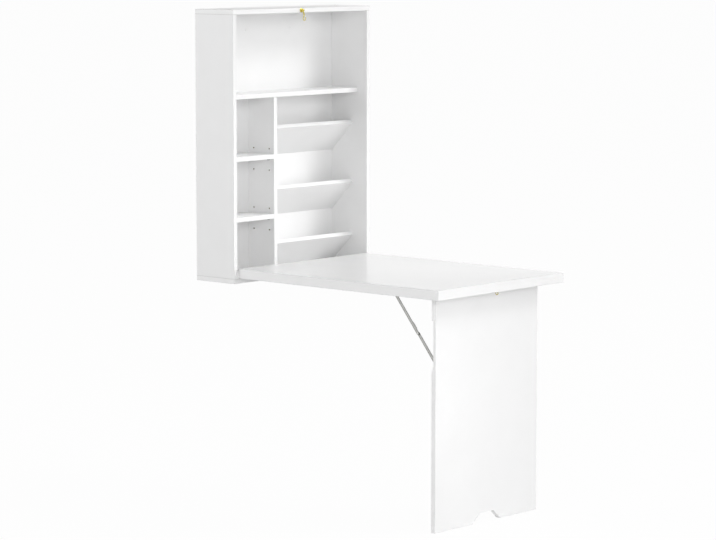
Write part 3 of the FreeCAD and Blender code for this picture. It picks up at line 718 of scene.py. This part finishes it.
# %% Screw tree
HEAD_SIDES = 28
SHANK_SIDES = 16
screw_tree, given = new_tree("cross_head_screws", ("Head Radius", "Head Depth", "Shank Radius", "Length",
                                                   "Cross Width", "Cross Length", "Cross Depth"))
head = add(screw_tree, "GeometryNodeMeshCone", {"Vertices": HEAD_SIDES, "Radius Top": given["Head Radius"],
                                                "Radius Bottom": given["Shank Radius"],
                                                "Depth": given["Head Depth"]})
pressed = add(screw_tree, "GeometryNodeMeshBoolean",
              {"Mesh 1": lowered(screw_tree, head.outputs[0], given["Head Depth"])}, operation="DIFFERENCE")
cross_high = add(screw_tree, "ShaderNodeMath", {0: given["Cross Depth"], 1: 2.0}, operation="MULTIPLY")
for along, across in (("Cross Length", "Cross Width"), ("Cross Width", "Cross Length")):
    bar_size = add(screw_tree, "ShaderNodeCombineXYZ", {0: given[along], 1: given[across],
                                                        2: cross_high.outputs[0]})
    bar = add(screw_tree, "GeometryNodeMeshCube", {"Size": bar_size.outputs[0]})
    screw_tree.links.new(bar.outputs[0], pressed.inputs["Mesh 2"])
shank_long = add(screw_tree, "ShaderNodeMath", {0: given["Length"], 1: given["Head Depth"]},
                 operation="SUBTRACT")
shank = shaft_below(screw_tree, SHANK_SIDES, given["Shank Radius"], shank_long.outputs[0],
                    given["Head Depth"])
place_on_points(screw_tree, given, (pressed.outputs[0], shank))

# %% Making pieces from a tree


def grow(name, body, tree, places, sizes, finish):
    """Runs a tree on a list of (place, facing) and leaves one plain mesh that rides on a body."""
    base = bpy.data.meshes.new(name + "_points")
    base.from_pydata([place for place, _ in places], [], [])
    facing = base.attributes.new("facing", "FLOAT_VECTOR", "POINT")
    for i, (_, way) in enumerate(places):
        facing.data[i].vector = way
    piece = new_piece(name, base)
    grown = piece.modifiers.new("grow", "NODES")
    grown.node_group = tree
    for item in tree.interface.items_tree:
        if item.in_out == "INPUT" and item.name in sizes:
            grown[item.identifier] = sizes[item.name]
        if item.in_out == "INPUT" and item.name == "Finish":
            grown[item.identifier] = finish
    solid = baked(piece)
    piece.modifiers.remove(grown)
    piece.data = solid
    solid.name = name
    bpy.data.meshes.remove(base)
    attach(piece, body)
    return piece


screw_inputs = [item.name for item in screw_tree.interface.items_tree if item.in_out == "INPUT"]
print("the screw tree asks for", ", ".join(screw_inputs))

# %% Hinge and bracket screws
SHANK_R = 1.2 * mm
CROSS_DEPTH = 0.7 * mm
THINNEST_HEAD = 0.8 * mm
CROSS_WIDTH_SHARE = 0.28
CROSS_LENGTH_SHARE = 1.25
screw_sets = (("cabinet", ("desk_hinge_cabinet_screws",)),
              ("desktop", ("desk_hinge_desk_screws", "leg_hinge_desk_screws", "stay_desk_screws")),
              ("leg", ("leg_hinge_leg_screws", "stay_leg_screws")))
for body, screw_nodes in screw_sets:
    found = [fastener(points) for node in screw_nodes for points in islands(node)]
    head_r = found[0][0][0][2]
    piece = grow(body + "_hinge_screws", body, screw_tree, [ends[0][:2] for ends, _ in found],
                 {"Head Radius": head_r, "Head Depth": max(head_r - SHANK_R, THINNEST_HEAD),
                  "Shank Radius": SHANK_R, "Length": min(long for _, long in found),
                  "Cross Width": CROSS_WIDTH_SHARE * head_r, "Cross Depth": CROSS_DEPTH,
                  "Cross Length": CROSS_LENGTH_SHARE * head_r}, zinc)
    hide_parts(*screw_nodes)
    print(body, "has", len(found), "screws, head radius", round(head_r / mm, 2), "mm")

# %% [markdown]
# ## Rivets, caps and shelf pins
# A rivet head, a press in cap and the nose of a shelf pin are all a low dome on a short shaft. One
# tree makes the three, with the dome's radius and height and the shaft's size as its inputs.

# %% Dome tree
DOME_SIDES = 28
DOME_RINGS = 14
SHAFT_SIDES = 24
dome_tree, given = new_tree("domed_pins", ("Dome Radius", "Dome Height", "Shaft Radius", "Shaft Length"))
ball = add(dome_tree, "GeometryNodeMeshUVSphere", {"Segments": DOME_SIDES, "Rings": DOME_RINGS,
                                                   "Radius": 1.0})
dome_size = add(dome_tree, "ShaderNodeCombineXYZ", {0: given["Dome Radius"], 1: given["Dome Radius"],
                                                    2: given["Dome Height"]})
dome = add(dome_tree, "GeometryNodeTransform", {"Geometry": ball.outputs[0], "Scale": dome_size.outputs[0]})
soft_dome = add(dome_tree, "GeometryNodeSetShadeSmooth",
                {"Geometry": lowered(dome_tree, dome.outputs[0], given["Dome Height"])})
shaft = shaft_below(dome_tree, SHAFT_SIDES, given["Shaft Radius"], given["Shaft Length"],
                    given["Dome Height"])
place_on_points(dome_tree, given, (soft_dome.outputs[0], shaft))

# %% Rivets of the stays
RIVET_DOME = 0.5 * mm
RIVET_SHAFT_R = 1.9 * mm
BRACKET_PLAY = 0.4 * mm
ELBOW_PLAY = 0.6 * mm


def dome_rivets(name, body, node, ends, shaft_long):
    """Domed heads on the ends of rivets, in place of a node."""
    piece = grow(name, body, dome_tree, [end[:2] for end in ends],
                 {"Dome Radius": ends[0][2], "Dome Height": RIVET_DOME, "Shaft Radius": RIVET_SHAFT_R,
                  "Shaft Length": shaft_long}, zinc)
    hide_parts(node)


for body, rivet_node in (("desktop", "stay_desk_rivets"), ("leg", "stay_leg_rivets")):
    rivets = [fastener(points, axis=0) for points in islands(rivet_node)]
    both_ends = [end for ends, _ in rivets for end in ends]
    dome_rivets(body + "_stay_rivets", body, rivet_node, both_ends, rivets[-1][1] / 2 - BRACKET_PLAY)
for side in ("left", "right"):
    for half in ("upper", "lower"):
        rivet_node = side + "_elbow_rivet_" + half
        ends, long = fastener(islands(rivet_node)[0], axis=0)
        dome_rivets(rivet_node + "_domed", side + "_stay_" + half, rivet_node, ends[:1], long - ELBOW_PLAY)
print("rivets are domed, elbow length", round(long / mm, 2), "mm")

# %% Screw caps and shelf pins
PIN_NOSE = 1.2 * mm
CAP_DOME = 0.5 * mm
CAP_PLAY = 0.2 * mm
CAP_SHORT = 0.6 * mm
caps = [fastener(points, axis=2) for points in islands("carcass_screw_caps")]
cap_ends = [end for ends, _ in caps for end in ends if end[1].z * end[0].z > 0]
cap_r = cap_ends[0][2]
cap_piece = grow("pressed_in_screw_caps", "cabinet", dome_tree, [end[:2] for end in cap_ends],
                 {"Dome Radius": cap_r, "Dome Height": CAP_DOME, "Shaft Radius": cap_r - CAP_PLAY,
                  "Shaft Length": caps[0][1] - CAP_SHORT}, plastic_white)
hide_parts("carcass_screw_caps")
pins = [fastener(points, axis=0) for points in islands("shelf_pins")]
pin_ends = [end for ends, _ in pins for end in ends]
pin_piece = grow("round_nosed_shelf_pins", "cabinet", dome_tree, [end[:2] for end in pin_ends],
                 {"Dome Radius": 2 * PIN_NOSE, "Dome Height": PIN_NOSE, "Shaft Radius": 2 * PIN_NOSE,
                  "Shaft Length": pins[0][1] / 2 - PIN_NOSE}, zinc)
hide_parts("shelf_pins")
print(len(cap_ends), "caps and", len(pins), "shelf pins")

# %% [markdown]
# Two holes in the back take the wall screws, and once the cabinet hangs a white cover is pushed
# into each, so the back looks plain. The same dome tree makes them, at the places that the packed
# record gives for the wall mount.

# %% Covers of the wall holes
COVER_OVERLAP = 2 * mm
COVER_HEIGHT = 1.0 * mm
COVER_PLUG = 6 * mm
COVER_PLAY = 0.1 * mm
wall_mount = next(mount for mount in frame["record"]["mounts"] if mount["name"] == "wall_screws")
wall_hole_r = wall_mount["dims"]["hole_r_mm"] * mm
wall_span = wall_mount["dims"]["spacing_x_mm"] * mm
back_face_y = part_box("back_panel")[0].y
FORWARD = Vector((0, -1, 0))
cover_places = []
for side in (-1, 1):
    place = Vector((wall_mount["pos_m"][0] + side * wall_span / 2, back_face_y, wall_mount["pos_m"][2]))
    cover_places.append((place + FORWARD * COVER_HEIGHT, FORWARD))
grow("wall_hole_covers", "cabinet", dome_tree, cover_places,
     {"Dome Radius": wall_hole_r + COVER_OVERLAP, "Dome Height": COVER_HEIGHT,
      "Shaft Radius": wall_hole_r - COVER_PLAY, "Shaft Length": COVER_PLUG}, plastic_white)
print("covers on", len(cover_places), "wall holes,", round(wall_span / mm), "mm apart")

# %% [markdown]
# ## The folding stays
# Each stay is two strips of plated steel, rolled with a shallow channel along the middle so that
# they don't buckle. The upper one carries a small stop lug above the elbow. A grid bent to a
# channel could be thickened by a Solidify modifier, but the lug and the round ends are easier as
# an outline. So the outline is given its thickness, and a long box cuts the channel into each face.

# %% Strip outline
STRIP_HALF = {"upper": 4.3 * mm, "lower": 4.4 * mm}
FOOT_ROUND = 2.4 * mm
END_STEPS, CORNER_STEPS, LUG_STEPS = 12, 6, 10


def turns(start, stop, steps):
    """Angles in even steps, given in degrees and returned in radians."""
    return [math.radians(start + (stop - start) * i / steps) for i in range(steps + 1)]


def strip_outline(start, end, half, lug):
    """Points round a strip in the Y Z plane. With a lug both ends are round, else its foot is square."""
    along = (end - start).normalized()
    across = Vector((-along.y, along.x))
    if across.y < 0:
        across = -across
    points = []
    for turn in turns(0, 180, END_STEPS):
        points.append(end + half * (across * math.cos(turn) + along * math.sin(turn)))
    round_r = half if lug else FOOT_ROUND
    inset = half - round_r
    for side, first in ((-1, 0), (1, 90)):
        corner = start + across * side * inset - along * inset
        for turn in turns(first, first + 90, CORNER_STEPS):
            points.append(corner - round_r * (across * math.cos(turn) + along * math.sin(turn)))
    if lug:
        middle = end - along * LUG_BACK + across * half
        for turn in turns(0, 180, LUG_STEPS):
            points.append(middle - along * LUG_LENGTH / 2 * math.cos(turn)
                          + across * LUG_HEIGHT * math.sin(turn))
    return points


for half, start in (("upper", stay_top), ("lower", stay_foot)):
    outline = strip_outline(start, elbow, STRIP_HALF[half], lug=half == "upper")
    print(half, "strip's outline has", len(outline), "points")

# %% Strip maker
STRIP_CHANNEL = 0.4 * mm
CHANNEL_SHORT = 2.6
FACING_OUT = 0.9


def make_strip(node, body, start, end, half, lug):
    """An extruded outline with a channel cut along the middle of both faces."""
    low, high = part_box(node)
    work = bmesh.new()
    face = work.faces.new([work.verts.new((low.x, p.x, p.y)) for p in strip_outline(start, end, half, lug)])
    pushed = bmesh.ops.extrude_face_region(work, geom=[face])
    far = [v for v in pushed["geom"] if isinstance(v, bmesh.types.BMVert)]
    bmesh.ops.translate(work, verts=far, vec=(high.x - low.x, 0, 0))
    bmesh.ops.recalc_face_normals(work, faces=work.faces)
    plain = bpy.data.meshes.new(node + "_blank")
    work.to_mesh(plain)
    work.free()
    lean = math.atan2(end.y - start.y, end.x - start.x)
    middle = (start + end) / 2
    long = (end - start).length - CHANNEL_SHORT * half
    channels = []
    for face_x in (low.x, high.x):
        place = Matrix.Translation((face_x, middle.x, middle.y)) @ Matrix.Rotation(lean, 4, "X")
        channels.append(place @ Matrix.Diagonal((2 * STRIP_CHANNEL, long, half, 1)))
    mesh = carved(plain, channels)
    mesh.name = node + "_rolled"
    mesh.materials.clear()
    mesh.materials.append(stay_zinc_shaded)
    mesh.materials.append(channel_zinc_painted_highlight)
    for side in mesh.polygons:
        deep = low.x + STRIP_CHANNEL / 2 < side.center.x < high.x - STRIP_CHANNEL / 2
        # Channel floors take the zinc painted brighter as a highlight, the rest the zinc painted darker as
        # shade.
        side.material_index = 1 if deep and abs(side.normal.x) > FACING_OUT else 0
    piece = new_piece(node + "_rolled", mesh)
    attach(piece, body)
    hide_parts(node)


print("channels are", round(STRIP_CHANNEL / mm, 1), "mm deep in each face")

# %% Four strips between their pivots
for side in ("left", "right"):
    for half, start in (("upper", stay_top), ("lower", stay_foot)):
        stay = side + "_stay_" + half
        make_strip(stay + "_link", stay, start, elbow, STRIP_HALF[half], lug=half == "upper")
lower_long = (elbow - stay_foot).length
print("stay strips", round(upper_long / mm), "and", round(lower_long / mm), "mm between pivots")

# %% [markdown]
# ## The brass latch
# The latch is a hook bent from brass wire that turns on a screw, and a wire eye under the free
# end of the desktop. Rings of points could be swept along the wire by hand. A curve with a round
# section does that by itself, and is made a mesh once it is bent. The hook's shank sways like a
# swan's neck, is thick under its ring and tapers to the bend, which each point's own radius gives.

# %% Wire maker
WIRE_ROUNDNESS = 4


def bent_wire(paths, radius):
    """A mesh of round wire along smooth paths. A path is (points, closed, swell at some points)."""
    curve = bpy.data.curves.new("wire", "CURVE")
    curve.dimensions = "3D"
    curve.bevel_depth = radius
    curve.bevel_resolution = WIRE_ROUNDNESS
    curve.use_fill_caps = True
    for points, closed, swell in paths:
        spline = curve.splines.new("POLY")
        spline.points.add(len(points) - 1)
        for i, point in enumerate(points):
            spline.points[i].co = (*point, 1.0)
            spline.points[i].radius = swell.get(i, 1.0)
        spline.use_cyclic_u = closed
        spline.use_smooth = True
    holder = new_piece("wire_holder", curve)
    mesh = baked(holder)
    bpy.data.objects.remove(holder)
    bpy.data.curves.remove(curve)
    return mesh


def arc(middle, radius, start, stop, steps, plane):
    """Points of an arc. The plane is the pair of directions that its angle turns through."""
    first, second = Vector(plane[0]), Vector(plane[1])
    return [middle + radius * (first * math.cos(turn) + second * math.sin(turn))
            for turn in turns(start, stop, steps)]


def brass_piece(name, mesh, body, node):
    mesh.materials.clear()
    mesh.materials.append(brass)
    piece = new_piece(name, mesh)
    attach(piece, body)
    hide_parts(node)
    print(name, "has", len(mesh.polygons), "faces")


print("round wire has", 4 + 2 * WIRE_ROUNDNESS, "sides")

# %% Hook
ACROSS_UP = ((1, 0, 0), (0, 0, 1))
hook_turn = Vector(joints["hook_swing"]["pos_m"])
hook_low, hook_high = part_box("latch_hook")
wire_r = (hook_high.y - hook_low.y) / 2
ring_r = hook_high.z - hook_turn.z - wire_r
BEND_R = 5.5 * mm
BEND_LEFT = 1.0 * mm
BEND_FROM, BEND_TO = 150, 350
TIP_RISE = 5 * mm
SWAN_SWAY = 4.5 * mm
SWAN_STEPS = 14
NECK_SWELL = 0.9
RING_STEPS = 32
BEND_STEPS = 20
bend_middle = Vector((hook_turn.x + BEND_LEFT + BEND_R, hook_turn.y, hook_low.z + wire_r + BEND_R))
bend_path = arc(bend_middle, BEND_R, BEND_FROM, BEND_TO, BEND_STEPS, ACROSS_UP)
ring_path = arc(hook_turn, ring_r, -90, 269, RING_STEPS, ACROSS_UP)
shank_top = hook_turn - Vector((0, 0, ring_r))
shank_path = []
neck_swell = {}
for i in range(SWAN_STEPS):
    along = i / SWAN_STEPS
    sway = Vector((SWAN_SWAY * math.sin(math.pi * along), 0, 0))
    shank_path.append(shank_top.lerp(bend_path[0], along) + sway)
    neck_swell[i] = 1.0 + NECK_SWELL * math.sin(math.pi * (1.0 - along) ** 2)
shank_path += bend_path
shank_path.append(bend_middle + Vector((BEND_R, 0, TIP_RISE)))
hook_mesh = bent_wire([(ring_path, True, {}), (shank_path, False, neck_swell)], wire_r)
brass_piece("bent_brass_hook", hook_mesh, "hook", "latch_hook")
print("hook wire", round(2 * wire_r / mm, 1), "mm thick, ring", round(2 * ring_r / mm, 1), "mm across")

# %% [markdown]
# The pivot screw has a low domed head with a slot, and a thin rosette spreads its load on the edge
# of the top board. Both are turned parts, so a profile is spun round the screw's axis. A Screw
# modifier could spin it, but the script builds the rings itself, so that it can close both ends.

# %% Turning helper
TURNED_SIDES = 36
SOFT_ANGLE = math.radians(35)


def smooth_by_angle(work):
    for face in work.faces:
        face.smooth = True
    for edge in work.edges:
        edge.smooth = len(edge.link_faces) == 2 and edge.calc_face_angle(0.0) < SOFT_ANGLE


def turned(label, profile, axis):
    """A closed mesh of (radius, Y) points spun round an axis along Y."""
    work = bmesh.new()
    rings = []
    for radius, y in profile:
        ring = []
        for i in range(TURNED_SIDES):
            turn = 2 * math.pi * i / TURNED_SIDES
            spoke = Vector((radius * math.cos(turn), y - axis.y, radius * math.sin(turn)))
            ring.append(work.verts.new(axis + spoke))
        rings.append(ring)
    for first, second in zip(rings, rings[1:]):
        for i in range(TURNED_SIDES):
            j = (i + 1) % TURNED_SIDES
            work.faces.new((first[i], first[j], second[j], second[i]))
    work.faces.new(rings[0])
    work.faces.new(rings[-1])
    bmesh.ops.recalc_face_normals(work, faces=work.faces)
    smooth_by_angle(work)
    mesh = bpy.data.meshes.new("turned_" + label)
    work.to_mesh(mesh)
    work.free()
    return mesh


def joined_mesh(meshes):
    """Several meshes as one, in the first of them."""
    work = bmesh.new()
    for mesh in meshes:
        work.from_mesh(mesh)
    work.to_mesh(meshes[0])
    work.free()
    return meshes[0]


print("turned pieces have", TURNED_SIDES, "sides")

# %% Pivot screw and rosette
screw_low, screw_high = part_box("hook_pivot_screw")
head_r = (screw_high.x - screw_low.x) / 2
face_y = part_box("top_board")[0].y
CROWN_FLAT = 0.45 * mm
# From the crown over the rim: shares of the head's radius, and depths below the crown.
HEAD_PROFILE = ((0.6, 0.25 * mm), (0.9, 0.9 * mm), (1.0, 1.6 * mm), (1.0, 2.0 * mm))
NECK_R, NECK_DEPTH = 1.9 * mm, 2.2 * mm
POINT_R, POINT_LONG = 0.4 * mm, 3 * mm
screw_profile = [(CROWN_FLAT, screw_low.y)]
screw_profile += [(share * head_r, screw_low.y + depth) for share, depth in HEAD_PROFILE]
screw_profile += [(NECK_R, screw_low.y + NECK_DEPTH), (NECK_R, screw_high.y - POINT_LONG),
                  (POINT_R, screw_high.y)]
ROSETTE_R = 7.2 * mm
ROSETTE_BORE = 2.0 * mm
# From the bore over the dished face to the board: radii, and heights above the board.
ROSETTE_PROFILE = ((ROSETTE_BORE, 1.9 * mm), (4.0 * mm, 1.9 * mm), (ROSETTE_R - 0.8 * mm, 1.1 * mm),
                   (ROSETTE_R, 0.5 * mm), (ROSETTE_R, 0.0), (ROSETTE_BORE, 0.0))
rosette_profile = [(radius, face_y - height) for radius, height in ROSETTE_PROFILE]
SLOT_TURN = math.radians(30)
SLOT_SIZE = (12 * mm, 1.6 * mm, 1.1 * mm)
slot_middle = Matrix.Translation((hook_turn.x, screw_low.y, hook_turn.z))
slot_place = slot_middle @ Matrix.Rotation(SLOT_TURN, 4, "Y")
slot = slot_place @ Matrix.Diagonal((*SLOT_SIZE, 1))
slotted = carved(turned("screw", screw_profile, hook_turn), [slot])
rosette = turned("rosette", rosette_profile, hook_turn)
brass_piece("slotted_pivot_screw", joined_mesh([slotted, rosette]), "cabinet", "hook_pivot_screw")
print("pivot screw head", round(2 * head_r / mm, 1), "mm, rosette", round(2 * ROSETTE_R / mm, 1), "mm")

# %% [markdown]
# The eye is a ring of the same kind of wire on a straight stem, which is screwed up into the end
# rail. A thin collar is a third piece of bent wire, and hides where the stem enters the wood.

# %% Eye under the desktop
FORWARD_UP = ((0, 1, 0), (0, 0, 1))
LEVEL = ((1, 0, 0), (0, 1, 0))
COLLAR_R = 2.0 * mm
COLLAR_WIRE = 0.6 * mm
COLLAR_STEPS = 23
eye_low, eye_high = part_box("catch_eye")
eye_wire = (eye_high.x - eye_low.x) / 2
eye_ring = (eye_high.y - eye_low.y) / 2 - eye_wire
eye_middle = Vector((0, (eye_low.y + eye_high.y) / 2, eye_low.z + eye_wire + eye_ring))
under_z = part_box("desk_end_rail")[0].z
eye_path = arc(eye_middle, eye_ring, 90, 430, RING_STEPS, FORWARD_UP)
eye_stem = [eye_middle + Vector((0, 0, eye_ring)), Vector((0, eye_middle.y, eye_high.z))]
collar = arc(Vector((0, eye_middle.y, under_z - COLLAR_WIRE)), COLLAR_R, 0, 345, COLLAR_STEPS, LEVEL)
eye_mesh = joined_mesh([bent_wire([(eye_path, False, {}), (eye_stem, False, {})], eye_wire),
                        bent_wire([(collar, True, {})], COLLAR_WIRE)])
brass_piece("bent_brass_eye", eye_mesh, "desktop", "catch_eye")
print("eye", round(2 * eye_ring / mm, 1), "mm across on", round(2 * eye_wire / mm, 1), "mm wire")

# %% [markdown]
# ## Hinges and brackets
# The leaves are cut and rolled from plated sheet. Drawn afresh, they would have to fit their pins
# and screws again, so a merged copy of each solid keeps its knuckles and holes. It is smoothed
# round the curves, and gets a fine bevel where the sheet was sheared.

# %% Sheet metal
SHEARED = 0.15 * mm
SHEAR_ANGLE = math.radians(60)
SHEAR_STEPS = 2


def finish_metal(node, arris):
    """A smoothed zinc plated copy of a node. An arris of nothing leaves its edges as they are."""
    mesh, work = merged_copy(node)
    smooth_by_angle(work)
    work.to_mesh(mesh)
    work.free()
    mesh.materials.clear()
    mesh.materials.append(zinc)
    piece = new_piece(node + "_finished", mesh)
    if arris:
        sheared = piece.modifiers.new("sheared edge", "BEVEL")
        sheared.limit_method = "ANGLE"
        sheared.angle_limit = SHEAR_ANGLE
        sheared.width = arris
        sheared.segments = SHEAR_STEPS
        sheared.harden_normals = True
    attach(piece, nodes[node]["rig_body"])
    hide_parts(node)


leaves = ("desk_hinge_cabinet_leaves", "desk_hinge_desk_leaves", "leg_hinge_desk_leaves",
          "leg_hinge_leg_leaves", "stay_desk_brackets", "stay_leg_brackets")
fittings = ("desk_hinge_pins", "leg_hinge_pins", "shelf_cam_locks", "shelf_cam_bolts", "carcass_screws")
for node in leaves:
    finish_metal(node, SHEARED)
for node in fittings:
    finish_metal(node, 0.0)
print(len(leaves), "sets of leaves and brackets and", len(fittings), "of hidden fittings are finished")

# %% [markdown]
# ## Dowels and back panel
# The beech dowels sit out of sight in their holes, and the back is one plain sheet in its grooves.
# Their solids already have the right shape, so they stay and only get their finish.

# %% Plain solids that only need their finish


def paint(node, material):
    for place in nodes[node].material_slots:
        place.material = material
    return len(nodes[node].material_slots)


for node in nodes:
    if "dowel" in node:
        print(node, "is beech in", paint(node, beech), "slot")
print("back panel is lacquered in", paint("back_panel", back_white), "slot")
